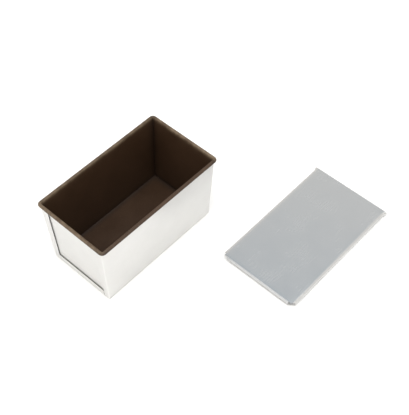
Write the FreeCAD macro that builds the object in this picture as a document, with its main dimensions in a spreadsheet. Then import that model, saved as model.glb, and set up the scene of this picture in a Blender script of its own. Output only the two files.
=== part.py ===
import FreeCAD, Part
import math
import os
import Sketcher

# A lidded loaf tin, in millimetres.  +Z is up and the origin is the middle of the tin's underside.
# The tin's length runs along Y.  The lid lies on the same surface, beside the tin, on its +X side.

SIZES = [
    ("rim_length", 200.0, "outside of the rolled rim, along Y"),
    ("rim_width", 114.0, "outside of the rolled rim, along X"),
    ("pan_height", 110.0, "underside to the top of the rim"),
    ("base_length", 185.0, "outside of the end seams at the underside"),
    ("base_width", 99.0, "outside of the long walls at the underside"),
    ("sheet", 0.6, "thickness of the coated steel sheet"),
    ("wire_diameter", 3.4, "steel wire inside the rolled rim"),
    ("rim_corner", 6.0, "outside radius of the rim at its corners, seen from above"),
    ("side_seam", 8.7, "width of the upright seams at the underside; their folded edges stand upright"),
    ("bottom_seam", 10.0, "height of the bottom seam on the end faces"),
    ("seam_gap", 0.4, "gap between the bottom seam and the upright seams"),
    ("curl_end_angle", 132.0, "angle of the rim's curl under the wire, from straight out"),
    ("lid_length", 198.0, "front lip to open end of the lid"),
    ("lid_play", 0.6, "clearance between the rim and the lid's channels"),
    ("channel_hook", 1.1, "how far a channel's lower edge reaches in from its bend"),
    ("channel_setback", 4.0, "plain plate between the front lip and the channels"),
    ("channel_slant", 5.0, "how much further back a channel's front end is at its underside"),
    ("lip_inset", 8.0, "lid's side to the end of its front lip"),
    ("lip_bend", 1.2, "outside radius of the front lip's bend"),
    ("lip_lift", 2.4, "front lip's edge above the channels' underside"),
    ("flare_length", 6.0, "length of the flared channel mouths at the open end"),
    ("flare_reach", 2.0, "how far a flared mouth stands out"),
    ("lid_x", 168.3, "middle of the lid where it lies"),
    ("lid_y", 149.2, "middle of the lid where it lies"),
]

document = FreeCAD.newDocument("loaf_pan")
sheet_table = document.addObject("Spreadsheet::Sheet", "Sizes")
for row, (alias, value, meaning) in enumerate(SIZES, start=1):
    sheet_table.set("A%d" % row, meaning)
    sheet_table.set("B%d" % row, str(value))
    sheet_table.setAlias("B%d" % row, alias)
document.recompute()


class Length:
    """A size worked out from the sheet: the formula that drives it, and its present value."""

    def __init__(self, formula, value):
        self.formula = formula
        self.value = value

    def combine(self, sign, other, work):
        if not isinstance(other, Length):
            other = Length(repr(float(other)), float(other))
        return Length("(%s %s %s)" % (self.formula, sign, other.formula), work(self.value, other.value))

    def __add__(self, other):
        return self.combine("+", other, lambda a, b: a + b)

    def __sub__(self, other):
        return self.combine("-", other, lambda a, b: a - b)

    def __mul__(self, other):
        return self.combine("*", other, lambda a, b: a * b)

    def __truediv__(self, other):
        return self.combine("/", other, lambda a, b: a / b)

    def __neg__(self):
        return Length("(-1 * %s)" % self.formula, -self.value)


def size(alias):
    return Length("Sizes." + alias, float(sheet_table.get(alias)))


def mix(low, high, share):
    """The size a given share of the way from low to high."""
    return low + (high - low) * share


zero = Length("0", 0.0)
sheet = size("sheet")
bead_radius = size("wire_diameter") / 2 + sheet
bead_level = size("pan_height") - bead_radius
seam_top = size("pan_height") - bead_radius * 2

# Outer faces of the long walls and of the end seams, at the underside and at the rim wire's level.
wall_base = size("base_width") / 2
wall_rim = size("rim_width") / 2 - bead_radius * 2 + sheet
seam_nose = wall_base - size("side_seam")
bottom_seam_half = seam_nose - size("seam_gap")
seam_base = size("base_length") / 2
seam_rim = size("rim_length") / 2 - bead_radius * 2 + sheet * 4

channel_radius = bead_radius + size("lid_play") + sheet
lid_width = size("rim_width") + (size("lid_play") + sheet) * 2
channel_middle = lid_width / 2 - channel_radius


def wall_at(level):
    return mix(wall_base, wall_rim, level / bead_level)


def seam_at(level):
    return mix(seam_base, seam_rim, level / bead_level)


# ---------------------------------------------------------------- drawing helpers


def new_body(label):
    body = document.addObject("PartDesign::Body", label)
    body.Label = label
    return body


def new_sketch(body, role, name, offset=None):
    """A sketch on one of the body's own origin planes, moved along its normal by offset."""
    sketch = body.newObject("Sketcher::SketchObject", name)
    plane = next(item for item in body.Origin.OriginFeatures if item.Role == role)
    sketch.AttachmentSupport = (plane, [""])
    sketch.MapMode = "FlatFace"
    if offset is not None:
        sketch.setExpression(".AttachmentOffset.Base.z", offset.formula)
    return sketch


def pin_down(sketch, edge, point, position):
    """Fix one point of an edge at a position, both of its distances driven from the sheet."""
    for kind, distance in zip(("DistanceX", "DistanceY"), position):
        if distance is None:
            continue
        index = sketch.addConstraint(Sketcher.Constraint(kind, edge, point, distance.value))
        sketch.setExpression("Constraints[%d]" % index, distance.formula)


def place(position):
    """Where a position, a pair of lengths, lies in a sketch at present."""
    return FreeCAD.Vector(position[0].value, position[1].value, 0)


def arc_between(start, end, centre, clockwise):
    """An arc about centre.  Sketch arcs run anticlockwise, so a clockwise one is drawn end first."""
    first, last = (end, start) if clockwise else (start, end)
    spokes = [place(tip) - place(centre) for tip in (first, last)]
    angles = [math.atan2(spoke.y, spoke.x) for spoke in spokes]
    if angles[1] <= angles[0]:
        angles[1] += 2 * math.pi
    middle = place(centre)
    circle = Part.Circle(middle, FreeCAD.Vector(0, 0, 1), (place(first) - middle).Length)
    return Part.ArcOfCircle(circle, *angles)


def outline(sketch, steps):
    """Draw a closed chain of edges.  Each step is where an edge ends: (x, y) for a straight one,
    or (x, y, centre_x, centre_y, clockwise) for an arc."""
    chain = []
    for number, step in enumerate(steps):
        start = steps[number - 1][:2]
        end = step[:2]
        if len(step) == 2:
            edge = sketch.addGeometry(Part.LineSegment(place(start), place(end)))
            start_point, end_point = 1, 2
        else:
            centre, clockwise = step[2:4], step[4]
            edge = sketch.addGeometry(arc_between(start, end, centre, clockwise))
            start_point, end_point = (2, 1) if clockwise else (1, 2)
            upright = abs(end[1].value - start[1].value) > abs(end[0].value - start[0].value)
            pin_down(sketch, edge, 3, (centre[0], None) if upright else (None, centre[1]))
        pin_down(sketch, edge, start_point, start)
        chain.append((edge, start_point, end_point))
    for (edge, _, end_point), (next_edge, start_point, _) in zip(chain, chain[1:] + chain[:1]):
        sketch.addConstraint(Sketcher.Constraint("Coincident", edge, end_point, next_edge, start_point))


def upright_axis(sketch, across):
    """A construction line standing upright at the given distance, as a reference for a turned feature."""
    foot = FreeCAD.Vector(across.value, 0, 0)
    head = FreeCAD.Vector(across.value, 1, 0)
    edge = sketch.addGeometry(Part.LineSegment(foot, head), True)
    pin_down(sketch, edge, 1, (across, sheet))
    pin_down(sketch, edge, 2, (across, sheet * 2))
    return (sketch, ["Axis0"])


def pad(body, name, sketch, length, midplane=False):
    feature = body.newObject("PartDesign::Pad", name)
    feature.Profile = sketch
    feature.setExpression("Length", length.formula)
    feature.Midplane = midplane
    return feature


def pocket(body, name, sketch, length):
    """Cut a sketch through the body, half of the length to each side of it."""
    feature = body.newObject("PartDesign::Pocket", name)
    feature.Profile = sketch
    feature.setExpression("Length", length.formula)
    feature.Midplane = True
    return feature


def loft(body, name, lower, upper):
    feature = body.newObject("PartDesign::AdditiveLoft", name)
    feature.Profile = lower
    feature.Sections = [upper]
    feature.Ruled = True
    return feature


def mirror(body, name, features, role):
    feature = body.newObject("PartDesign::Mirrored", name)
    feature.Originals = features
    feature.MirrorPlane = (next(item for item in body.Origin.OriginFeatures if item.Role == role), [""])
    body.Tip = feature
    return feature


# ---------------------------------------------------------------- rolled rim


def bead_outline(sketch, middle, outward):
    """Section of the rolled rim with a stub of the wall below it, the curl pointing outward."""
    curl_x = math.cos(math.radians(size("curl_end_angle").value))
    curl_y = -math.sin(math.radians(size("curl_end_angle").value))
    cosine = Length("cos(Sizes.curl_end_angle * 1 deg)", curl_x)
    sine = Length("(-1 * sin(Sizes.curl_end_angle * 1 deg))", curl_y)
    inside = bead_radius - sheet
    wall_inner = middle - bead_radius * outward
    wall_outer = middle - inside * outward
    turns_clockwise = outward > 0
    steps = [
        (wall_outer, seam_top),
        (wall_inner, seam_top),
        (wall_inner, bead_level),
        (middle + bead_radius * cosine * outward, bead_level + bead_radius * sine, middle, bead_level,
         turns_clockwise),
        (middle + inside * cosine * outward, bead_level + inside * sine),
        (wall_outer, bead_level, middle, bead_level, not turns_clockwise),
    ]
    outline(sketch, steps)


# ---------------------------------------------------------------- body sheet


def side_wall_outline(sketch, level):
    """Plan of the right long wall, with its margins hemmed round the end panels' flanges."""
    x = wall_at(level)
    y = seam_at(level)
    rear = [
        (x, y),
        (seam_nose, y),
        (seam_nose, y - sheet * 3),
        (x - sheet * 2, y - sheet * 3),
        (x - sheet * 2, y - sheet * 2),
        (seam_nose + sheet, y - sheet * 2),
        (seam_nose + sheet, y - sheet),
        (x - sheet, y - sheet),
    ]
    front = [(across, -along) for across, along in reversed(rear)]
    outline(sketch, rear + front)


def bottom_seam_outline(sketch):
    """Profile of the bottom sheet's hem on the front end, following the slope of the end face."""
    rise = size("bottom_seam")
    steps = [
        (-seam_base, zero),
        (-seam_at(rise), rise),
        (sheet * 3 - seam_at(rise), rise),
        (sheet * 3 - seam_at(sheet * 2), sheet * 2),
        (sheet * 2 - seam_at(sheet * 2), sheet * 2),
        (sheet * 2 - seam_at(rise - sheet), rise - sheet),
        (sheet - seam_at(rise - sheet), rise - sheet),
        (sheet - seam_at(sheet), sheet),
        (sheet * 5 - seam_base, sheet),
        (sheet * 5 - seam_base, zero),
    ]
    outline(sketch, steps)


def make_body_wrap():
    body = new_body("body_wrap")
    lower = new_sketch(body, "XY_Plane", "wall_plan_low")
    side_wall_outline(lower, zero)
    upper = new_sketch(body, "XY_Plane", "wall_plan_high", seam_top)
    side_wall_outline(upper, seam_top)
    wall = loft(body, "long_wall", lower, upper)

    bead = new_sketch(body, "XZ_Plane", "bead_section")
    bead_outline(bead, size("rim_width") / 2 - bead_radius, 1)
    straight_rim = size("rim_length") - size("rim_corner") * 2
    rolled_edge = pad(body, "long_rolled_edge", bead, straight_rim, midplane=True)
    document.recompute()
    mirror(body, "other_long_wall", [wall, rolled_edge], "YZ_Plane")
    document.recompute()

    floor_plan = new_sketch(body, "XY_Plane", "floor_plan")
    side = wall_base - sheet / 2
    end = seam_base - sheet * 4
    outline(floor_plan, [(side, end), (-side, end), (-side, -end), (side, -end)])
    pad(body, "floor", floor_plan, sheet)

    hem = new_sketch(body, "YZ_Plane", "bottom_seam_section")
    bottom_seam_outline(hem)
    front_hem = pad(body, "bottom_seam", hem, bottom_seam_half * 2, midplane=True)
    document.recompute()
    mirror(body, "other_bottom_seam", [front_hem], "XZ_Plane")
    return body


# ---------------------------------------------------------------- end panels


def panel_outline(sketch, level):
    """Plan of an end panel: the plate, and each margin turned out and back to lie in the side seam."""
    x = wall_at(level) - sheet
    y = seam_at(level)
    free_edge = seam_nose + sheet
    right = [
        (x, sheet * 4 - y),
        (x, sheet - y),
        (free_edge, sheet - y),
        (free_edge, sheet * 2 - y),
        (x - sheet, sheet * 2 - y),
        (x - sheet, sheet * 3 - y),
    ]
    left = [(-across, along) for across, along in reversed(right)]
    outline(sketch, right + left)


def bottom_flange_outline(sketch):
    """Profile of the panel's bottom margin, turned out and up to lie in the bottom seam."""
    rise = size("bottom_seam") - sheet
    steps = [
        (sheet * 3 - seam_at(sheet), sheet),
        (sheet - seam_at(sheet), sheet),
        (sheet - seam_at(rise), rise),
        (sheet * 2 - seam_at(rise), rise),
        (sheet * 2 - seam_at(sheet * 2), sheet * 2),
        (sheet * 3 - seam_at(sheet * 2), sheet * 2),
    ]
    outline(sketch, steps)


def make_end_panel(label, turn):
    """The front end panel, turned about Z to its own end of the tin."""
    body = new_body(label)
    lower = new_sketch(body, "XY_Plane", label + "_plan_low", sheet)
    panel_outline(lower, sheet)
    upper = new_sketch(body, "XY_Plane", label + "_plan_high", seam_top)
    panel_outline(upper, seam_top)
    loft(body, label + "_plate", lower, upper)

    flange = new_sketch(body, "YZ_Plane", label + "_flange_section")
    bottom_flange_outline(flange)
    pad(body, label + "_bottom_flange", flange, bottom_seam_half * 2, midplane=True)

    bead = new_sketch(body, "YZ_Plane", label + "_bead_section")
    bead_outline(bead, bead_radius - size("rim_length") / 2, -1)
    pad(body, label + "_rolled_edge", bead, size("rim_width") - size("rim_corner") * 2, midplane=True)

    bend_line = size("rim_length") / 2 - size("rim_corner")
    corner = new_sketch(body, "XZ_Plane", label + "_corner_section", bend_line)
    bead_outline(corner, size("rim_width") / 2 - bead_radius, 1)
    turned = body.newObject("PartDesign::Revolution", label + "_rolled_corner")
    turned.Profile = corner
    turned.ReferenceAxis = upright_axis(corner, size("rim_width") / 2 - size("rim_corner"))
    turned.Angle = 90.0
    turned.Reversed = True
    document.recompute()
    mirror(body, label + "_other_corner", [turned], "YZ_Plane")
    body.Placement = FreeCAD.Placement(
        FreeCAD.Vector(0, 0, 0), FreeCAD.Rotation(FreeCAD.Vector(0, 0, 1), turn)
    )
    return body


# ---------------------------------------------------------------- rim wire


def make_rim_wire():
    """One closed loop of round wire, bent at the four corners of the rim."""
    body = new_body("rim_wire")
    x = size("rim_width") / 2 - bead_radius
    y = size("rim_length") / 2 - bead_radius
    bend_x = size("rim_width") / 2 - size("rim_corner")
    bend_y = size("rim_length") / 2 - size("rim_corner")
    path = new_sketch(body, "XY_Plane", "wire_path", bead_level)
    steps = [
        (x, bend_y),
        (bend_x, y, bend_x, bend_y, False),
        (-bend_x, y),
        (-x, bend_y, -bend_x, bend_y, False),
        (-x, -bend_y),
        (-bend_x, -y, -bend_x, -bend_y, False),
        (bend_x, -y),
        (x, -bend_y, bend_x, -bend_y, False),
    ]
    outline(path, steps)

    section = new_sketch(body, "XZ_Plane", "wire_section", bend_y)
    wire_radius = size("wire_diameter").value / 2
    circle = Part.Circle(place((x, bead_level)), FreeCAD.Vector(0, 0, 1), wire_radius)
    edge = section.addGeometry(circle)
    pin_down(section, edge, 3, (x, bead_level))
    across = section.addConstraint(Sketcher.Constraint("Diameter", edge, size("wire_diameter").value))
    section.setExpression("Constraints[%d]" % across, size("wire_diameter").formula)

    wire = body.newObject("PartDesign::AdditivePipe", "bent_wire")
    wire.Profile = section
    wire.Spine = path
    return body


# ---------------------------------------------------------------- lid


def lid_outline(sketch, reach):
    """Section of the lid: flat top, and a side bent round each long edge of the rim."""
    top = channel_radius * 2
    middle = channel_middle + reach
    hook = channel_middle - size("channel_hook") + reach
    right = [
        (middle, top - sheet),
        (middle, sheet, middle, channel_radius, True),
        (hook, sheet),
        (hook, zero),
        (middle, zero),
        (middle, top, middle, channel_radius, False),
    ]
    left = [
        (-middle, top),
        (-middle, zero, -middle, channel_radius, False),
        (-hook, zero),
        (-hook, sheet),
        (-middle, sheet),
        (-middle, top - sheet, -middle, channel_radius, True),
    ]
    outline(sketch, right + left)


def lip_outline(sketch):
    """Profile of the front lip: the plate's edge bent straight down."""
    top = channel_radius * 2
    front = size("lid_length") / 2
    bend = size("lip_bend")
    steps = [
        (bend - front, top),
        (-front, top - bend, bend - front, top - bend, False),
        (-front, size("lip_lift")),
        (sheet - front, size("lip_lift")),
        (sheet - front, top - bend),
        (bend - front, top - sheet, bend - front, top - bend, True),
    ]
    outline(sketch, steps)


def make_lid():
    body = new_body("lid")
    front = size("lid_length") / 2
    top = channel_radius * 2
    channel_front = front - size("channel_setback")
    mouth = size("flare_length") - front

    section = new_sketch(body, "XZ_Plane", "lid_section", mouth)
    lid_outline(section, zero)
    pad(body, "lid_plate_and_channels", section, channel_front - mouth)

    straight_end = new_sketch(body, "XZ_Plane", "mouth_start", mouth)
    lid_outline(straight_end, zero)
    flared_end = new_sketch(body, "XZ_Plane", "mouth_end", -front)
    lid_outline(flared_end, size("flare_reach"))
    loft(body, "flared_mouths", straight_end, flared_end)

    notch = new_sketch(body, "YZ_Plane", "slanted_end")
    outline(notch, [(-channel_front, top - sheet), (size("channel_slant") - channel_front, zero),
                    (-channel_front, zero)])
    pocket(body, "channel_ends", notch, lid_width * 2)

    apron = new_sketch(body, "XY_Plane", "plain_plate", top - sheet)
    bend_line = size("lip_bend") - front
    outline(apron, [(channel_middle, bend_line), (channel_middle, -channel_front),
                    (-channel_middle, -channel_front), (-channel_middle, bend_line)])
    pad(body, "plain_front", apron, sheet)

    lip = new_sketch(body, "YZ_Plane", "lip_section")
    lip_outline(lip)
    pad(body, "front_lip", lip, lid_width - size("lip_inset") * 2, midplane=True)
    body.setExpression(".Placement.Base.x", size("lid_x").formula)
    body.setExpression(".Placement.Base.y", size("lid_y").formula)
    return body


def check_model(parts):
    for item in document.Objects:
        if "Invalid" in item.State or "Error" in item.State:
            raise RuntimeError("%s did not build: %s" % (item.Label, item.State))
    for part in parts:
        if part.Shape.isNull() or not part.Shape.isValid():
            raise RuntimeError("%s has no valid shape" % part.Label)


parts = [
    make_body_wrap(),
    make_end_panel("end_panel_front", 0.0),
    make_end_panel("end_panel_rear", 180.0),
    make_rim_wire(),
    make_lid(),
]
document.recompute()
check_model(parts)
os.makedirs("parts", exist_ok=True)
for part in parts:
    part.Shape.exportStep("parts/%s.step" % part.Label)
    box = part.Shape.BoundBox
    print("%-16s volume %9.1f  solids %d  box %.2f..%.2f  %.2f..%.2f  %.2f..%.2f" % (
        part.Label, part.Shape.Volume, len(part.Shape.Solids),
        box.XMin, box.XMax, box.YMin, box.YMax, box.ZMin, box.ZMax))
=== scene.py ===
import math

import bmesh
import bpy
from mathutils import Matrix, Vector, noise


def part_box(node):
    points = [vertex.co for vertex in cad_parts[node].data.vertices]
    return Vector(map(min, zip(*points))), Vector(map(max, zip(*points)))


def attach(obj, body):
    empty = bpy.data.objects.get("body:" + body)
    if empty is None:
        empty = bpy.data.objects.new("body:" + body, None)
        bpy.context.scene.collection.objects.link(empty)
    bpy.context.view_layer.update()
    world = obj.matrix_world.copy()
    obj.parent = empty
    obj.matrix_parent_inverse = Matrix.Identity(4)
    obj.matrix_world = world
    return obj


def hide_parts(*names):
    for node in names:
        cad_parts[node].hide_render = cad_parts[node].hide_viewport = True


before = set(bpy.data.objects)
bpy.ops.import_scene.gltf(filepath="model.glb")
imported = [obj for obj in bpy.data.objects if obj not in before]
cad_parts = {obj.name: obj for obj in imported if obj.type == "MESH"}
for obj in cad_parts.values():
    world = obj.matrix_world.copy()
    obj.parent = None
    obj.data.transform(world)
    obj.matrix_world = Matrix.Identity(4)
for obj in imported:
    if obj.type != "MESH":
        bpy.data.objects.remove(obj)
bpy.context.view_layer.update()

# A lidded loaf tin, in metres, in the CAD's frame: +Z up, the tin's length along Y, the lid beside it.
# Each sheet of the tin is shown as two skins, half the sheet thick: bright metal outside, coating inside.

MM = 0.001

# ---------------------------------------------------------------- sizes read from the frame

wrap_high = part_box("body_wrap")[1]
panel_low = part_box("end_panel_front")[0]
wire_low, wire_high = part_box("rim_wire")
lid_low, lid_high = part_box("lid")

RIM_X = wrap_high.x
RIM_Y = -panel_low.y
RIM_TOP = wrap_high.z
WIRE_RADIUS = (wire_high.z - wire_low.z) / 2
BEAD_LEVEL = (wire_high.z + wire_low.z) / 2
BEAD_RADIUS = RIM_TOP - BEAD_LEVEL
SHEET = BEAD_RADIUS - WIRE_RADIUS
SKIN = SHEET / 2

# ---------------------------------------------------------------- sizes of the tin

BASE_X = 49.5 * MM          # outside of a long wall at the underside
BASE_Y = 92.5 * MM          # outside of an end seam at the underside
RIM_CORNER = 6 * MM         # outside radius of the rim's corners, seen from above
FOLD = 1.5 * MM             # outside radius of the bends round the bottom and up the corners
SIDE_SEAM = 8.7 * MM        # width of the upright seams at the underside; their folded edges are upright
BOTTOM_SEAM = 10 * MM       # height of the bottom seam
SEAM_GAP = 0.4 * MM         # between the ends of the bottom seam and the upright seams
NOSE = SHEET                # radius of a seam's folded edge
HEM_RETURN = 3 * MM         # how far a folded edge runs back behind the seam
PANEL_FOLD = 0.9 * MM       # inside edges of an end panel, where it turns out into the seams
CURL_END = -132             # angle where the rim's curl ends, under the wire
PANEL_FLANGE = 0.9 * MM     # how far an end panel's edges run on into the seams
PANEL_GAP = 0.05 * MM       # between an end panel's edges and the sheet of the wrap
RIM_JOINT = 0.1 * MM        # half the hairline joint between the long and the end parts of the rim
BEND_ROWS = 7               # grid lines round a bend of the wrap
BEAD_ROWS = 27              # grid lines round the rolled rim
WALL_BELLY = 0.35 * MM      # how far a long wall bellies out
WALL_WAVES = 0.2 * MM       # how far the waves of thin sheet rise on a wall or an end panel
FLOOR_WAVES = 0.15 * MM     # how far they rise on the inside of the bottom
SEAM_TOP = RIM_TOP - 2 * BEAD_RADIUS
FRONT_WEAR_AND_LIGHT = 1.0            # how far the coating is drawn lighter along each part of the rim, from 0 to 1: worn thin, with painted light making the front and left lighter and the right side darker
REAR_WEAR_AND_LIGHT = 0.6
LEFT_WEAR_AND_LIGHT = 0.65
RIGHT_WEAR_AND_LIGHT = 0.1

WALL_RIM_X = RIM_X - 2 * BEAD_RADIUS + SHEET
SEAM_RIM_Y = RIM_Y - 2 * BEAD_RADIUS + 4 * SHEET
BEND_X = RIM_X - RIM_CORNER
BEND_Y = RIM_Y - RIM_CORNER
BEAD_OUT = RIM_CORNER - BEAD_RADIUS

# ---------------------------------------------------------------- sizes of the lid

LID_CENTRE = (lid_low + lid_high) / 2
LID_TOP = lid_high.z
FLARE_REACH = 2 * MM        # how far a channel's mouth stands out at the rear end
FLARE_LENGTH = 6 * MM       # over what length it opens
LID_SIDE = (lid_high.x - lid_low.x) / 2 - FLARE_REACH
LID_FRONT = (lid_high.y - lid_low.y) / 2
CHANNEL_RADIUS = LID_TOP / 2
CHANNEL_MIDDLE = LID_SIDE - CHANNEL_RADIUS
CHANNEL_HOOK = 1.1 * MM     # how far a channel's lower edge reaches in
CHANNEL_SETBACK = 4 * MM    # front lip to the channels' front ends
CHANNEL_SLANT = 5 * MM      # how much further back those ends are at the underside
LIP_INSET = 8 * MM          # how far in from the lid's sides the front lip ends
LIP_BEND = 1.2 * MM         # outside radius of the lip's bend
LIP_LIFT = 2.4 * MM         # lower edge of the lip above the surface that the lid lies on
CROWN = 0.2 * MM            # how far the plate stands above its bent edges
LEAN = 6 * MM               # over what distance from a bend the plate leans down to it
LID_WAVES = 0.08 * MM       # how far the waves of thin sheet rise on the plate

# ---------------------------------------------------------------- places on the tin


def wall_x(z):
    """Outer face of the right long wall at a height."""
    return BASE_X + (WALL_RIM_X - BASE_X) * z / BEAD_LEVEL


def seam_y(z):
    """Outer face of the rear end's seams at a height."""
    return BASE_Y + (SEAM_RIM_Y - BASE_Y) * z / BEAD_LEVEL


def spread(low, high, count):
    """Evenly spaced values from low to high, both included."""
    return [low + (high - low) * number / (count - 1) for number in range(count)]


def turn(start, end, count):
    """Evenly spaced angles, given in degrees and returned in radians."""
    return [math.radians(angle) for angle in spread(start, end, count)]


def unevenness(x, y, z, size):
    """Slow variation between about -1 and 1, the same at a place on every run."""
    return noise.noise(Vector((x, y, z)) / size)


def wall_bow(y, z):
    """How far a long wall stands out from flat: a slight belly, and the waves of thin sheet."""
    along = max(0.0, 1 - (y / seam_y(z)) ** 2)
    up = max(0.0, math.sin(math.pi * z / SEAM_TOP))
    waves = unevenness(0.3, y, z, 45 * MM)
    return along * up * (WALL_BELLY + WALL_WAVES * waves)


def panel_bow(x, z):
    """How far an end panel stands out from flat."""
    along = max(0.0, 1 - (x / wall_x(z)) ** 2)
    up = max(0.0, math.sin(math.pi * z / SEAM_TOP))
    return along * up * WALL_WAVES * unevenness(x, 0.7, z, 40 * MM)


# ---------------------------------------------------------------- folded sheets


class Blank:
    """A sheet-metal blank being folded: grids of quads, each point with its place on the flat blank."""

    def __init__(self):
        self.mesh = bmesh.new()
        self.flat = self.mesh.verts.layers.float_vector.new("flat")
        # painted shade: darkens the colour where shade falls, in seams, corners, under the rim and along
        # the lid's front bend
        self.painted_shade = self.mesh.verts.layers.float.new("painted_shade")
        # painted highlight on bends and on the lid's lip and sides; on the rim, worn coating together with
        # painted light
        self.wear_and_highlight = self.mesh.verts.layers.float.new("wear_and_highlight")

    def add(self, rows):
        """Each point is (x, y, z, along, across), the last two on the flat blank."""
        grid = []
        for row in rows:
            line = []
            for x, y, z, along, across in row:
                vertex = self.mesh.verts.new((x, y, z))
                vertex[self.flat] = (along, across, 0)
                line.append(vertex)
            grid.append(line)
        for lower, upper in zip(grid, grid[1:]):
            for corners in zip(lower, lower[1:], upper[1:], upper):
                self.mesh.faces.new(corners)

    def mark(self, shade_at, wear_and_highlight_at):
        """Say how much painted shade, and how much wear and painted highlight, the sheet has at each of its
        points.
        """
        for vertex in self.mesh.verts:
            vertex[self.painted_shade] = min(1.0, max(0.0, shade_at(vertex.co)))
            vertex[self.wear_and_highlight] = min(1.0, max(0.0, wear_and_highlight_at(vertex.co)))

    def join(self):
        """Weld the grids along their shared edges."""
        bmesh.ops.remove_doubles(self.mesh, verts=self.mesh.verts, dist=0.002 * MM)
        bmesh.ops.dissolve_degenerate(self.mesh, edges=self.mesh.edges, dist=0.001 * MM)
        bmesh.ops.recalc_face_normals(self.mesh, faces=self.mesh.faces)

    def face_out(self, place, direction):
        """Turn the sheet so that its face nearest a place looks in a direction."""
        place = Vector(place)
        nearest = min(self.mesh.faces, key=lambda face: (face.calc_center_median() - place).length)
        if nearest.normal.dot(Vector(direction)) < 0:
            bmesh.ops.reverse_faces(self.mesh, faces=self.mesh.faces)

    def turned(self):
        """Turn the whole blank half way round the tin's upright axis."""
        half_turn = Matrix.Rotation(math.pi, 3, "Z")
        bmesh.ops.rotate(self.mesh, verts=self.mesh.verts, cent=(0, 0, 0), matrix=half_turn)


def apply_modifiers(piece):
    """Make what the modifiers show the piece's own mesh."""
    graph = bpy.context.evaluated_depsgraph_get()
    mesh = bpy.data.meshes.new_from_object(piece.evaluated_get(graph), depsgraph=graph)
    mesh.name = piece.name
    piece.modifiers.clear()
    piece.data = mesh


def make_piece(name, blank, thickness, material, body):
    """A closed solid from a folded blank: the metal lies behind the face that shows."""
    mesh = bpy.data.meshes.new(name)
    blank.mesh.to_mesh(mesh)
    blank.mesh.free()
    piece = bpy.data.objects.new(name, mesh)
    bpy.context.scene.collection.objects.link(piece)
    mesh.materials.append(material)
    thicken = piece.modifiers.new("thickness", "SOLIDIFY")
    thicken.thickness = thickness
    thicken.offset = -1
    thicken.use_even_offset = True
    apply_modifiers(piece)
    piece.data.shade_smooth()
    piece.data.set_sharp_from_angle(angle=math.radians(40))
    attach(piece, body)
    return piece


# ---------------------------------------------------------------- bright outside of the body wrap


def nose_x(z, side):
    """Folded edge of an upright seam at a height, a little uneven."""
    return BASE_X - SIDE_SEAM + 0.12 * MM * unevenness(side, 0.2, z, 22 * MM)


def outside_levels():
    """Heights up the outside: (height, how far the bottom bend still pulls in, distance up the sheet)."""
    bend = [(FOLD * (1 - math.cos(angle)), FOLD * (1 - math.sin(angle)), FOLD * angle)
            for angle in turn(0, 90, BEND_ROWS)]
    top = BEAD_LEVEL - 1 * MM
    straight = [(z, 0.0, FOLD * math.pi / 2 + z - FOLD) for z in spread(FOLD, top, 25)[1:]]
    return bend + straight


def wall_row(z, pull, up, side):
    """One level of a long wall and its two seams, from the front seam round to the rear one."""
    x = wall_x(z) - pull
    y = seam_y(z) - pull
    bend = FOLD - pull
    seam_start = nose_x(z, side) + NOSE
    across = side * (BASE_X - FOLD + up)
    half = []
    for share in spread(0, 1, 5):
        half.append((seam_start + (x - bend - seam_start) * share, y, BASE_Y + (1 - share) * SIDE_SEAM))
    for angle in turn(90, 0, BEND_ROWS)[1:]:
        half.append((x - bend + bend * math.cos(angle), y - bend + bend * math.sin(angle),
                     BASE_Y - FOLD + FOLD * angle))
    row = [(side * px, -py, z, -along, across) for px, py, along in half]
    for share in spread(-1, 1, 33)[1:-1]:
        py = share * (y - bend)
        row.append((side * (x + wall_bow(py, z)), py, z, py, across))
    row += [(side * px, py, z, along, across) for px, py, along in reversed(half)]
    return row


def nose_row(z, side, end):
    """One level of an upright seam's folded edge and the hem behind it."""
    middle = nose_x(z, side) + NOSE
    y = seam_y(z)
    across = side * (BASE_X + z)
    row = []
    for angle in turn(90, 270, 9):
        row.append((side * (middle + NOSE * math.cos(angle)), end * (y - NOSE + NOSE * math.sin(angle)), z,
                    end * (BASE_Y + SIDE_SEAM + NOSE * angle), across))
    for run in spread(0, HEM_RETURN, 4)[1:]:
        along = end * (BASE_Y + SIDE_SEAM + run)
        row.append((side * (middle + run), end * (y - 2 * NOSE), z, along, across))
    return row


def bottom_seam_rows(columns, end):
    """The bottom sheet's end margin: bent up, folded over at the top and turned back behind."""
    profile = [(seam_y(z) - pull, z, up) for z, pull, up in outside_levels()[:BEND_ROWS]]
    fold_level = BOTTOM_SEAM - NOSE
    profile += [(seam_y(z), z, z) for z in spread(FOLD, fold_level, 6)[1:]]
    for angle in turn(0, 180, 9)[1:]:
        z = fold_level + NOSE * math.sin(angle)
        profile.append((seam_y(fold_level) - NOSE + NOSE * math.cos(angle), z, fold_level + NOSE * angle))
    for run in spread(0, HEM_RETURN, 4)[1:]:
        z = fold_level - run
        profile.append((seam_y(z) - 2 * NOSE, z, BOTTOM_SEAM + run))
    return [[(x, end * y, z, end * (BASE_Y + up), x) for x in columns] for y, z, up in profile]


def seam_columns():
    """Where the bottom seam's grid lines cross the width, between the upright seams."""
    half = BASE_X - SIDE_SEAM - SEAM_GAP
    return spread(-half, half, 25)


def wrap_seam_shade(place):
    """Painted shade in the seams' folded edges and behind them, darkening the grooves."""
    behind = seam_y(place.z) - abs(place.y)
    if behind > 4 * NOSE or abs(place.x) > wall_x(place.z) - 3 * MM:
        return 0.0
    return 0.3 * (behind - 0.5 * NOSE) / (0.7 * NOSE) if place.z > 0.5 * MM else 0.0


def wrap_bend_highlight(place):
    """Painted highlight, lightening the bends: the bottom edges, the upright corners and the seams' folded
    edges.
    """
    bottom = 1 - place.z / FOLD
    corner_x = wall_x(place.z) - abs(place.x)
    corner_y = seam_y(place.z) - abs(place.y)
    corner = 1 - max(corner_x, corner_y) / FOLD
    return max(bottom, corner, 0.0)


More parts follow.
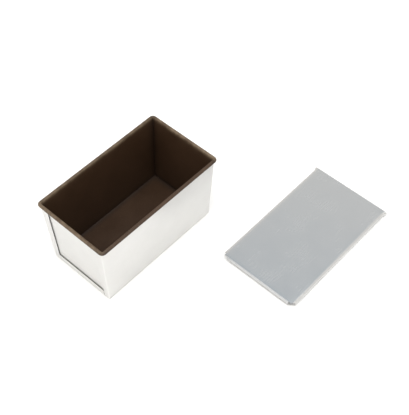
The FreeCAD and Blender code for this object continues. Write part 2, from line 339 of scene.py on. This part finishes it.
def make_bright_wrap(material):
    """Underside, two long walls and both ends' seams as one sheet."""
    blank = Blank()
    for side in (-1, 1):
        blank.add([wall_row(z, pull, up, side) for z, pull, up in outside_levels()])
        for end in (-1, 1):
            upright = [z for z, pull, up in outside_levels()[BEND_ROWS - 1:]]
            blank.add([nose_row(z, side, end) for z in upright])
    lowest = wall_row(0.0, FOLD, 0.0, 1)
    strip = [point[0] for point in lowest[:5]]
    columns = [-x for x in reversed(strip)] + seam_columns() + strip
    bottom_lines = {point[1] for point in lowest if abs(point[0] - (BASE_X - FOLD)) < 0.001 * MM}
    blank.add([[(x, y, 0.0, y, x) for x in columns] for y in sorted(bottom_lines)])
    for end in (-1, 1):
        blank.add(bottom_seam_rows(seam_columns(), end))
    blank.join()
    blank.face_out((0, 0, 0), (0, 0, -1))
    blank.mark(wrap_seam_shade, wrap_bend_highlight)
    piece = make_piece("bright_body_wrap", blank, SKIN, material, "tin")
    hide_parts("body_wrap")


# ---------------------------------------------------------------- bright outside of the end panels


def panel_edge_shade(place):
    """Painted shade on the panel, close along the upright seams and under the rim."""
    to_side = nose_x(place.z, 1) - abs(place.x)
    to_rim = SEAM_TOP - place.z
    side_shade = 0.22 - to_side / (2.4 * MM)
    return max(side_shade, 0.6 - to_rim / (1.5 * MM))


def no_highlight(place):
    """The panel has no painted highlight and no wear anywhere."""
    return 0.0


def make_bright_panel(name, node, rear, material):
    """The end panel's outer face, from behind the bottom seam up to the rim's curl."""
    levels = [1 * MM, 5 * MM, 9 * MM] + [BOTTOM_SEAM + step * MM for step in (-0.1, 0.3, 0.7, 1.2, 2.5)]
    levels += spread(BOTTOM_SEAM + 6 * MM, SEAM_TOP - 2 * MM, 18) + [SEAM_TOP, BEAD_LEVEL - 1 * MM]
    rows = []
    for z in levels:
        edge = wall_x(z) - SHEET - 0.3 * MM
        seam = nose_x(z, 1)
        half = [edge, seam + 3 * MM] + [seam - step * MM for step in (-0.1, 0.3, 0.7, 1.2, 2.5)]
        middle = spread(-(seam - 6 * MM), seam - 6 * MM, 19)
        y = -(seam_y(z) - 3 * SHEET)
        row = [-x for x in half] + middle + list(reversed(half))
        rows.append([(x, y - panel_bow(x, z), z, x, z) for x in row])
    blank = Blank()
    blank.add(rows)
    blank.join()
    middle = rows[len(rows) // 2][0]
    blank.face_out((0, middle[1], middle[2]), (0, -1, 0))
    blank.mark(panel_edge_shade, no_highlight)
    if rear:
        blank.turned()
    piece = make_piece(name, blank, SKIN, material, "tin")
    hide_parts(node)


# ---------------------------------------------------------------- coated inside and rolled rim


def bead_section():
    """Section of the rolled rim: (distance out from the corner's axis, height, distance up the sheet)."""
    section = [(BEAD_OUT - BEAD_RADIUS, (SEAM_TOP + BEAD_LEVEL) / 2, SEAM_TOP + 1 * MM)]
    for angle in turn(180, CURL_END, BEAD_ROWS):
        out = BEAD_OUT + BEAD_RADIUS * math.cos(angle)
        z = BEAD_LEVEL + BEAD_RADIUS * math.sin(angle)
        section.append((out, z, BEAD_LEVEL + BEAD_RADIUS * (math.pi - angle)))
    return section


def rim_wear_and_light(place):
    """The rolled rim, drawn lighter: the coating worn thin there, plus painted light that makes it lightest
    at the front end and least light on the right side.
    """
    to_end = max(0.0, RIM_Y - abs(place.y))
    to_side = max(0.0, RIM_X - abs(place.x))
    share = to_side / (to_side + to_end + 0.01 * MM)
    end_wear_and_light = FRONT_WEAR_AND_LIGHT if place.y < 0 else REAR_WEAR_AND_LIGHT
    side_wear_and_light = LEFT_WEAR_AND_LIGHT if place.x < 0 else RIGHT_WEAR_AND_LIGHT
    # painted light: the lit front and left are drawn lighter, the right side stays darker
    wear = side_wear_and_light + (end_wear_and_light - side_wear_and_light) * share
    return wear * min(1.0, (place.z - SEAM_TOP + 0.3 * MM) / (1.2 * MM))


def inside_corner_shade(place):
    """Painted shade in the corners of the inside: the bottom corners and the upright ones, where two faces
    meet.
    """
    to_floor = place.z - SHEET
    to_wall = wall_x(place.z) - SHEET - abs(place.x)
    to_end = seam_y(place.z) - 4 * SHEET - abs(place.y)
    nearest_two = sorted((to_floor, to_wall, to_end))[:2]
    return 1 - (nearest_two[0] + nearest_two[1]) / (7 * MM)


def make_coated_wrap(material):
    """Floor and two long walls as one sheet, with its long edges rolled out over the wire."""
    inner = FOLD - SHEET
    wall_end = seam_y(SEAM_TOP) - 3 * SHEET
    rolled_share = (BEND_Y - RIM_JOINT) / wall_end
    shares = [-1.0] + spread(-rolled_share, rolled_share, 45) + [1.0]
    walls = []
    for angle in turn(0, 90, BEND_ROWS):
        z = FOLD - inner * math.cos(angle)
        walls.append((wall_x(z) - FOLD + inner * math.sin(angle), z, BASE_X - FOLD + inner * angle))
    for z in spread(FOLD, SEAM_TOP, 25)[1:]:
        walls.append((wall_x(z) - SHEET, z, BASE_X + z))
    section = [(-x, z, -across) for x, z, across in reversed(walls)]
    section += [(x, SHEET, x) for x in spread(-walls[0][0], walls[0][0], 17)[1:-1]]
    section += walls
    rows = []
    for x, z, across in section:
        end = seam_y(z) - 3 * SHEET
        row = []
        for share in shares:
            y = share * end
            wave = FLOOR_WAVES * unevenness(x, y, 0.1, 50 * MM) * max(0.0, 1 - (x / BASE_X) ** 4)
            bow = math.copysign(wall_bow(y, z), x) if z > FOLD else 0.0
            lift = max(0.0, wave) if z < FOLD else 0.0
            row.append((x + bow, y, z + lift, y, across))
        rows.append(row)
    blank = Blank()
    blank.add(rows)
    top = walls[-1]
    for side in (-1, 1):
        rolled = [(top[0], top[1], 0.0)]
        rolled += [(BEND_X + out, z, up - SEAM_TOP) for out, z, up in bead_section()]
        blank.add([[(side * x, share * wall_end, z, share * wall_end, side * (top[2] + up))
                    for share in shares[1:-1]] for x, z, up in rolled])
    blank.join()
    blank.face_out((0, 0, SHEET), (0, 0, 1))
    blank.mark(inside_corner_shade, rim_wear_and_light)
    piece = make_piece("coated_body_wrap", blank, SKIN, material, "tin")
    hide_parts("body_wrap")


def panel_flat(z):
    """Half the width of an end panel's flat inner face at a height."""
    return wall_x(z) - SHEET - PANEL_GAP - PANEL_FOLD


def panel_columns(z):
    """Across an end panel: (x, depth behind its inner face), its side edges turned out into the seams."""
    flat = panel_flat(z)
    rolled = [(flat + PANEL_FOLD * math.sin(angle), PANEL_FOLD * (1 - math.cos(angle)))
              for angle in turn(0, 90, 6)]
    rolled.append((flat + PANEL_FOLD, PANEL_FOLD + PANEL_FLANGE))
    share = BEND_X / panel_flat(SEAM_TOP)
    middle = [(flat * step, 0.0) for step in spread(-share, share, 25)]
    return [(-x, depth) for x, depth in reversed(rolled)] + middle + rolled


def panel_levels():
    """Up an end panel: (height, depth behind its inner face), its bottom edge turned out into the seam."""
    lowest = SHEET + PANEL_GAP
    rolled = [(lowest + PANEL_FOLD * (1 - math.sin(angle)), PANEL_FOLD * (1 - math.cos(angle)))
              for angle in turn(90, 0, 6)]
    upright = [(z, 0.0) for z in spread(lowest + PANEL_FOLD, SEAM_TOP, 25)[1:]]
    return [(lowest, PANEL_FOLD + PANEL_FLANGE)] + rolled + upright


def turned_out(depth, drop):
    """How far the panel reaches out: its flanges are clipped where they meet in the bottom corners."""
    return min(max(depth, drop), PANEL_FOLD) if depth > 0 and drop > 0 else max(depth, drop)


def rim_corner(side, start, end):
    """Round one front corner of the rim: (axis x, axis y, way out x, way out y, distance along)."""
    return [(side * BEND_X, -BEND_Y, math.cos(angle), math.sin(angle),
             side * BEND_X + RIM_CORNER * (math.pi / 2 + angle)) for angle in turn(start, end, 11)]


def rim_path():
    """Round the front end of the rim, corner to corner."""
    straight = [(x, -BEND_Y, 0.0, -1.0, x) for x in spread(BEND_X, -BEND_X, 25)[1:-1]]
    return rim_corner(1, 0, -90) + straight + rim_corner(-1, -90, -180)


def make_coated_end(name, node, rear, material):
    """An end panel's inner face, with its top edge and both rim corners rolled out over the wire."""
    blank = Blank()
    rows = []
    for z, drop in panel_levels():
        row = []
        for x, depth in panel_columns(z):
            y = -(seam_y(z) - 4 * SHEET) - turned_out(depth, drop)
            bow = panel_bow(x, z) if depth + drop == 0.0 else 0.0
            row.append((x, y - bow, z, x, z))
        rows.append(row)
    blank.add(rows)
    top_out = seam_y(SEAM_TOP) - 4 * SHEET - BEND_Y
    section = [(top_out, SEAM_TOP, SEAM_TOP)] + bead_section()
    blank.add([[(x + way_x * out, y + way_y * out, z, along, up)
                for x, y, way_x, way_y, along in rim_path()] for out, z, up in section])
    blank.join()
    blank.face_out((0, -BEND_Y, SEAM_TOP / 2), (0, 1, 0))
    blank.mark(inside_corner_shade, rim_wear_and_light)
    if rear:
        blank.turned()
    piece = make_piece(name, blank, SKIN, material, "tin")
    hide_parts(node)


# ---------------------------------------------------------------- lid


def settled(distance):
    """From 0 at a bend to 1 where the plate no longer leans down to it."""
    return 1 - max(0.0, 1 - distance / LEAN) ** 2


def plate_rise(x, y):
    """How far the plate stands above its bent edges: a slight crown, and the waves of thin sheet."""
    crown = settled(CHANNEL_MIDDLE - abs(x)) * settled(y - LIP_BEND + LID_FRONT)
    inside = max(0.0, 1 - (x / CHANNEL_MIDDLE) ** 2) * max(0.0, 1 - (y / LID_FRONT) ** 4)
    return CROWN * crown + LID_WAVES * inside * unevenness(x, y, 0.4, 38 * MM)


def flare(y):
    """How far a channel stands out at a distance along the lid: its mouth opens at the rear end."""
    share = max(0.0, (y - (LID_FRONT - FLARE_LENGTH)) / FLARE_LENGTH)
    return FLARE_REACH * share ** 1.5


def lid_side_highlight(place):
    """Painted highlight: the channels' rounded sides and the lip are drawn lighter."""
    plate_edge = CHANNEL_MIDDLE - 1 * MM
    beside = (abs(place.x - LID_CENTRE.x) - plate_edge) / (2.5 * MM)
    below_bend = (LID_TOP - LIP_BEND - place.z) / (0.3 * MM)
    return max(beside, below_bend)


def lid_bend_shade(place):
    """Painted shade: a darker line along the front bend."""
    past_bend = LID_CENTRE.y - LID_FRONT + LIP_BEND - place.y
    return 0.3 - abs(past_bend - 0.3 * MM) / (3 * MM)


def plate_columns():
    """Where the plate's grid lines cross its width, and those of them that the lip has too."""
    lip_end = LID_SIDE - LIP_INSET
    lip_columns = spread(-lip_end, lip_end, 25)
    margin = spread(lip_end, CHANNEL_MIDDLE, 5)[1:]
    return [-x for x in reversed(margin)] + lip_columns + margin, lip_columns


def plate_rows(lines, columns):
    """The flat top: it widens at the rear end together with the channels' mouths."""
    rows = []
    for y in lines:
        stretch = 1 + flare(y) / CHANNEL_MIDDLE
        rows.append([(LID_CENTRE.x + x * stretch, LID_CENTRE.y + y, LID_TOP + plate_rise(x, y), y, x)
                     for x in columns])
    return rows


def channel_rows(lines, side):
    """One side's channel, bent right round under the plate, its front end cut back at a slant."""
    front = lines[0]
    mouth = LID_FRONT - FLARE_LENGTH
    section = [(CHANNEL_RADIUS * math.cos(angle), CHANNEL_RADIUS + CHANNEL_RADIUS * math.sin(angle),
                CHANNEL_RADIUS * (math.pi / 2 - angle)) for angle in turn(90, -90, 19)]
    section.append((-CHANNEL_HOOK, 0.0, CHANNEL_RADIUS * math.pi + CHANNEL_HOOK))
    rows = []
    for out, z, around in section:
        slant = CHANNEL_SLANT * (1 - z / LID_TOP)
        row = []
        for line in lines:
            y = line + slant * max(0.0, (mouth - line) / (mouth - front))
            x = side * (CHANNEL_MIDDLE + flare(y) + out)
            row.append((LID_CENTRE.x + x, LID_CENTRE.y + y, z, y, side * (CHANNEL_MIDDLE + around)))
        rows.append(row)
    return rows


def lip_rows(bend_line, columns):
    """The front lip: bent down from the plate, and ending above the surface that the lid lies on."""
    section = [(bend_line - LIP_BEND * math.cos(angle), LID_TOP - LIP_BEND + LIP_BEND * math.sin(angle),
                -LIP_BEND * (math.pi / 2 - angle)) for angle in turn(90, 0, 8)]
    for z in spread(LID_TOP - LIP_BEND, LIP_LIFT, 5)[1:]:
        section.append((-LID_FRONT, z, z - LID_TOP))
    return [[(LID_CENTRE.x + x, LID_CENTRE.y + y, z, bend_line + down, x) for x in columns]
            for y, z, down in section]


def make_lid(material):
    """One sheet: a flat top, a channel bent under each long side, and a lip bent down in front."""
    bend_line = LIP_BEND - LID_FRONT
    channel_front = CHANNEL_SETBACK - LID_FRONT
    mouth = LID_FRONT - FLARE_LENGTH
    channel_lines = spread(channel_front, channel_front + LEAN, 6)
    channel_lines += spread(channel_front + LEAN, mouth, 39)[1:]
    channel_lines += spread(mouth, LID_FRONT, 7)[1:]
    plate_lines = spread(bend_line, channel_front, 4)[:-1] + channel_lines
    columns, lip_columns = plate_columns()

    blank = Blank()
    blank.add(plate_rows(plate_lines, columns))
    for side in (-1, 1):
        blank.add(channel_rows(channel_lines, side))
    blank.add(lip_rows(bend_line, lip_columns))
    blank.join()
    blank.face_out((LID_CENTRE.x, LID_CENTRE.y, LID_TOP), (0, 0, 1))
    blank.mark(lid_bend_shade, lid_side_highlight)
    piece = make_piece("slide_on_lid", blank, SHEET, material, "loose_lid")
    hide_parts("lid")


# ---------------------------------------------------------------- materials


class Shader:
    """A node material being wired up."""

    def __init__(self, name):
        self.material = bpy.data.materials.new(name)
        self.material.use_nodes = True
        self.tree = self.material.node_tree
        self.surface = self.tree.nodes["Principled BSDF"]

    def node(self, kind, **values):
        made = self.tree.nodes.new(kind)
        for name, value in values.items():
            setattr(made, name, value)
        return made

    def link(self, source, target):
        self.tree.links.new(source, target)

    def attribute(self, name):
        return self.node("ShaderNodeAttribute", attribute_name=name)

    def grain(self, where, scale, detail=3.0, roughness=0.5):
        """Noise over a place, stretched by a scale for each direction, in repeats per metre."""
        stretch = self.node("ShaderNodeVectorMath", operation="MULTIPLY")
        self.link(where, stretch.inputs[0])
        stretch.inputs[1].default_value = scale
        texture = self.node("ShaderNodeTexNoise")
        texture.inputs["Scale"].default_value = 1.0
        texture.inputs["Detail"].default_value = detail
        texture.inputs["Roughness"].default_value = roughness
        self.link(stretch.outputs[0], texture.inputs["Vector"])
        return texture.outputs["Fac"]

    def ranged(self, value, from_low, from_high, to_low, to_high):
        """A value brought from one range to another, and kept inside it."""
        scaled = self.node("ShaderNodeMapRange")
        scaled.inputs["From Min"].default_value = from_low
        scaled.inputs["From Max"].default_value = from_high
        scaled.inputs["To Min"].default_value = to_low
        scaled.inputs["To Max"].default_value = to_high
        self.link(value, scaled.inputs["Value"])
        return scaled.outputs["Result"]

    def maths(self, operation, first, second):
        """Two values combined, each a number or another socket."""
        made = self.node("ShaderNodeMath", operation=operation)
        for socket, value in zip(made.inputs, (first, second)):
            if isinstance(value, (int, float)):
                socket.default_value = value
            else:
                self.link(value, socket)
        return made.outputs[0]

    def colours(self, share, first, second):
        """A colour between two, each a fixed colour or another socket."""
        mixed = self.node("ShaderNodeMix", data_type="RGBA")
        self.link(share, mixed.inputs["Factor"])
        for socket, colour in zip((mixed.inputs[6], mixed.inputs[7]), (first, second)):
            if isinstance(colour, tuple):
                socket.default_value = colour + (1.0,)
            else:
                self.link(colour, socket)
        return mixed.outputs[2]

    def bumps(self, *layers):
        """Bump from several heights, each with its distance in metres, one on top of another."""
        normal = None
        for height, distance in layers:
            bump = self.node("ShaderNodeBump")
            bump.inputs["Distance"].default_value = distance
            bump.inputs["Strength"].default_value = 1.0
            self.link(height, bump.inputs["Height"])
            if normal is not None:
                self.link(normal, bump.inputs["Normal"])
            normal = bump.outputs["Normal"]
        self.link(normal, self.surface.inputs["Normal"])


def sheet_metal(name, clean, dull, shade_colour, sheen, highlight_colour, edge_tint):
    """Satin metal sheet: rolling grain along it, cloudy tone, scuffs, a painted highlight on the bends and
    painted shade in the seams.
    """
    shader = Shader(name)
    flat = shader.attribute("flat").outputs["Vector"]
    painted_shade = shader.attribute("painted_shade").outputs["Fac"]
    wear_and_highlight = shader.attribute("wear_and_highlight").outputs["Fac"]

    clouds = shader.grain(flat, (28, 28, 28), detail=4.0, roughness=0.55)
    rolled = shader.grain(flat, (25, 1400, 1), detail=2.0)
    mottle = shader.grain(flat, (260, 260, 260), detail=3.0, roughness=0.6)
    scuffs = shader.grain(flat, (90, 900, 1), detail=5.0, roughness=0.7)
    scuffed = shader.ranged(scuffs, 0.68, 0.84, 0.0, 1.0)

    cloudy = shader.ranged(clouds, 0.3, 0.7, 0.0, 0.75)
    tone = shader.maths("ADD", cloudy, shader.ranged(rolled, 0.3, 0.7, 0.0, 0.25))
    colour = shader.colours(tone, dull, clean)
    # painted highlight: bends, and the lid's lip and channel sides, drawn towards a lighter colour
    highlit = shader.maths("MULTIPLY", wear_and_highlight, shader.ranged(mottle, 0.3, 0.7, 0.6, 1.0))
    colour = shader.colours(shader.maths("MULTIPLY", highlit, 0.8), colour, highlight_colour)
    # painted shade: seams, the panels' edges and the lid's front bend darkened towards a dark brown, less
    # metallic
    ragged_shade = shader.maths("MULTIPLY", painted_shade, shader.ranged(mottle, 0.2, 0.55, 0.75, 1.0))
    colour = shader.colours(ragged_shade, colour, shade_colour)
    shader.link(colour, shader.surface.inputs["Base Color"])

    rough = shader.ranged(clouds, 0.3, 0.7, sheen - 0.03, sheen + 0.03)
    rough = shader.maths("ADD", rough, shader.ranged(rolled, 0.3, 0.7, -0.02, 0.02))
    rough = shader.maths("ADD", rough, shader.maths("MULTIPLY", scuffed, 0.025))
    rough = shader.maths("ADD", rough, shader.maths("MULTIPLY", ragged_shade, 0.3))
    shader.link(rough, shader.surface.inputs["Roughness"])
    shader.link(shader.ranged(ragged_shade, 0.0, 1.0, 0.9, 0.1), shader.surface.inputs["Metallic"])
    shader.surface.inputs["Specular Tint"].default_value = (edge_tint, edge_tint, edge_tint, 1)
    shader.bumps((clouds, 0.015 * MM), (rolled, 0.0002 * MM), (mottle, 0.0003 * MM), (scuffed, 0.0001 * MM))
    return shader.material


def coating():
    """Semi-gloss brown non-stick coating: sprayed, with fine specks and scuffs, worn thin on the rim, with
    painted light on the rim and painted shade in the inside's corners.
    """
    shader = Shader("nonstick_coating")
    place = shader.node("ShaderNodeTexCoord").outputs["Object"]
    flat = shader.attribute("flat").outputs["Vector"]
    painted_shade = shader.attribute("painted_shade").outputs["Fac"]
    rim_wear_light = shader.attribute("wear_and_highlight").outputs["Fac"]

    clouds = shader.grain(place, (24, 24, 24), detail=4.0, roughness=0.6)
    spray = shader.grain(place, (1500, 1500, 1500), detail=2.0)
    specks = shader.grain(place, (700, 700, 700), detail=1.0)
    scuffs = shader.grain(flat, (60, 700, 1), detail=5.0, roughness=0.7)
    scuffed = shader.ranged(scuffs, 0.62, 0.76, 0.0, 1.0)
    wear = shader.grain(place, (90, 90, 90), detail=5.0, roughness=0.65)
    worn = shader.ranged(wear, 0.40, 0.62, 0.35, 1.0)

    cloudy = shader.ranged(clouds, 0.3, 0.7, 0.0, 1.0)
    colour = shader.colours(cloudy, (0.038, 0.0195, 0.0100), (0.053, 0.0285, 0.0152))
    colour = shader.colours(shader.ranged(specks, 0.62, 0.70, 0.0, 0.3), colour, (0.075, 0.050, 0.032))
    colour = shader.colours(shader.maths("MULTIPLY", scuffed, 0.3), colour, (0.08, 0.055, 0.038))
    # painted shade: the inside's corners darkened towards near black
    colour = shader.colours(shader.maths("MULTIPLY", painted_shade, 0.6), colour, (0.012, 0.007, 0.005))
    # worn coating on the rim, drawn lighter, its amount per side set by painted light
    colour = shader.colours(shader.maths("MULTIPLY", rim_wear_light, worn), colour, (0.17, 0.124, 0.080))
    shader.link(colour, shader.surface.inputs["Base Color"])

    rough = shader.ranged(clouds, 0.3, 0.7, 0.36, 0.46)
    rough = shader.maths("ADD", rough, shader.maths("MULTIPLY", scuffed, 0.12))
    rough = shader.maths("ADD", rough, shader.maths("MULTIPLY", painted_shade, 0.15))
    shader.link(rough, shader.surface.inputs["Roughness"])
    shader.surface.inputs["Specular IOR Level"].default_value = 0.3
    shader.bumps((clouds, 0.04 * MM), (spray, 0.012 * MM), (scuffed, 0.003 * MM))
    return shader.material


def drawn_wire():
    """Drawn steel wire: grey metal with die lines round it and a breath of rust."""
    shader = Shader("rim_wire")
    place = shader.node("ShaderNodeTexCoord").outputs["Object"]
    lines = shader.grain(place, (300, 300, 2400), detail=3.0)
    rust = shader.grain(place, (120, 120, 120), detail=5.0, roughness=0.7)
    rusted = shader.ranged(rust, 0.55, 0.68, 0.0, 0.7)
    drawn = shader.ranged(lines, 0.3, 0.7, 0.0, 1.0)
    colour = shader.colours(drawn, (0.30, 0.30, 0.30), (0.46, 0.45, 0.44))
    colour = shader.colours(rusted, colour, (0.16, 0.075, 0.035))
    shader.link(colour, shader.surface.inputs["Base Color"])
    shader.link(shader.ranged(rusted, 0.0, 0.7, 1.0, 0.35), shader.surface.inputs["Metallic"])
    shader.link(shader.ranged(lines, 0.3, 0.7, 0.30, 0.50), shader.surface.inputs["Roughness"])
    shader.bumps((lines, 0.004 * MM), (rust, 0.01 * MM))
    return shader.material


def white_paper():
    """Matt white studio paper with a fine fibre."""
    shader = Shader("studio_paper")
    place = shader.node("ShaderNodeTexCoord").outputs["Object"]
    fibre = shader.grain(place, (900, 900, 900), detail=3.0)
    colour = shader.colours(fibre, (0.90, 0.90, 0.895), (0.93, 0.93, 0.925))
    shader.link(colour, shader.surface.inputs["Base Color"])
    shader.surface.inputs["Roughness"].default_value = 0.9
    shader.surface.inputs["Specular IOR Level"].default_value = 0.1
    shader.bumps((fibre, 0.02 * MM))
    return shader.material


# ---------------------------------------------------------------- studio

CAMERA_TURN = 41.65         # degrees round the tin from its front end
CAMERA_RISE = 52.13         # degrees above the horizon
CAMERA_ROLL = 0.62          # degrees, anticlockwise tilt of the picture
CAMERA_REACH = 1135.8 * MM
CAMERA_LENS = 76.48
CAMERA_TARGET = Vector((60.14, 71.27, 40.61)) * MM
SOFTBOX_REACH = 2.4         # metres from the middle of the scene to a soft box
SOFTBOX_SIZE = 1.6
GREY_RISE = 75              # degrees above the horizon of the middle of the room's greyer part
FLOOR_DROP = 0.2 * MM       # how far the paper lies under the object, so that the two never flicker


def direction(turned, rise):
    """The way from the tin to something that stands round it and above the horizon, in degrees."""
    turned = math.radians(turned)
    rise = math.radians(rise)
    return Vector((math.sin(turned) * math.cos(rise), -math.cos(turned) * math.cos(rise), math.sin(rise)))


def make_camera():
    lens = bpy.data.cameras.new("camera")
    lens.lens = CAMERA_LENS
    lens.clip_start = 0.01
    lens.clip_end = 50
    camera = bpy.data.objects.new("camera", lens)
    back = direction(CAMERA_TURN, CAMERA_RISE)
    aim = back.to_track_quat("Z", "Y").to_matrix()
    roll = Matrix.Rotation(math.radians(CAMERA_ROLL), 3, "Z")
    camera.matrix_world = Matrix.Translation(CAMERA_TARGET + back * CAMERA_REACH) @ (aim @ roll).to_4x4()
    bpy.context.scene.collection.objects.link(camera)
    bpy.context.scene.camera = camera


def make_floor():
    """A broad flat sheet of paper under everything."""
    blank = bmesh.new()
    bmesh.ops.create_grid(blank, x_segments=40, y_segments=40, size=6.0)
    mesh = bpy.data.meshes.new("studio_floor")
    blank.to_mesh(mesh)
    blank.free()
    mesh.materials.append(white_paper())
    floor = bpy.data.objects.new("studio_floor", mesh)
    floor.location.z = -FLOOR_DROP
    bpy.context.scene.collection.objects.link(floor)


def make_light(name, turned, rise, power, colour):
    """A square soft box that looks at the middle of the scene."""
    lamp = bpy.data.lights.new(name, "AREA")
    lamp.shape = "SQUARE"
    lamp.size = SOFTBOX_SIZE
    lamp.energy = power
    lamp.color = colour
    light = bpy.data.objects.new(name, lamp)
    middle = Vector((CAMERA_TARGET.x, CAMERA_TARGET.y, 0))
    away = direction(turned, rise)
    aim = away.to_track_quat("Z", "Y").to_matrix().to_4x4()
    light.matrix_world = Matrix.Translation(middle + away * SOFTBOX_REACH) @ aim
    bpy.context.scene.collection.objects.link(light)


def make_world():
    """A pale room, greyer high up beyond the object, where the lid mirrors it."""
    world = bpy.data.worlds.new("studio")
    bpy.context.scene.world = world
    world.use_nodes = True
    tree = world.node_tree
    background = tree.nodes["Background"]
    place = tree.nodes.new("ShaderNodeTexCoord")
    beyond = tree.nodes.new("ShaderNodeVectorMath")
    beyond.operation = "DOT_PRODUCT"
    beyond.inputs[1].default_value = direction(CAMERA_TURN + 180, GREY_RISE)
    tree.links.new(place.outputs["Generated"], beyond.inputs[0])
    ramp = tree.nodes.new("ShaderNodeValToRGB")
    tree.links.new(beyond.outputs["Value"], ramp.inputs["Fac"])
    stops = ramp.color_ramp.elements
    stops[0].position = 0.88
    stops[0].color = (0.92, 0.895, 0.86, 1)
    stops[1].position = 0.96
    stops[1].color = (0.57, 0.63, 0.68, 1)
    tree.links.new(ramp.outputs["Color"], background.inputs["Color"])
    background.inputs["Strength"].default_value = 1.0


def make_studio():
    make_camera()
    make_floor()
    make_world()
    make_light("key_softbox", turned=-30, rise=62, power=14, colour=(1.0, 0.985, 0.96))
    make_light("fill_softbox", turned=100, rise=66, power=5, colour=(0.97, 0.985, 1.0))
    make_light("top_softbox", turned=65, rise=76, power=24, colour=(1.0, 1.0, 1.0))
    bpy.context.scene.view_settings.view_transform = "Standard"


# ---------------------------------------------------------------- everything together

# each sheet gets a dark brown colour for painted shade and a lighter one for painted highlight
tin_metal = sheet_metal("bright_sheet", clean=(0.75, 0.748, 0.735), dull=(0.69, 0.687, 0.675),
                        shade_colour=(0.045, 0.032, 0.022), sheen=0.38, highlight_colour=(0.76, 0.755, 0.74),
                        edge_tint=0.9)
lid_metal = sheet_metal("lid_sheet", clean=(0.575, 0.583, 0.587), dull=(0.56, 0.57, 0.576),
                        shade_colour=(0.05, 0.045, 0.04), sheen=0.25, highlight_colour=(0.68, 0.68, 0.67),
                        edge_tint=0.6)
coat = coating()

make_studio()
make_bright_wrap(tin_metal)
make_bright_panel("bright_end_front", "end_panel_front", False, tin_metal)
make_bright_panel("bright_end_rear", "end_panel_rear", True, tin_metal)
make_coated_wrap(coat)
make_coated_end("coated_end_front", "end_panel_front", False, coat)
make_coated_end("coated_end_rear", "end_panel_rear", True, coat)
make_lid(lid_metal)
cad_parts["rim_wire"].data.materials[0] = drawn_wire()
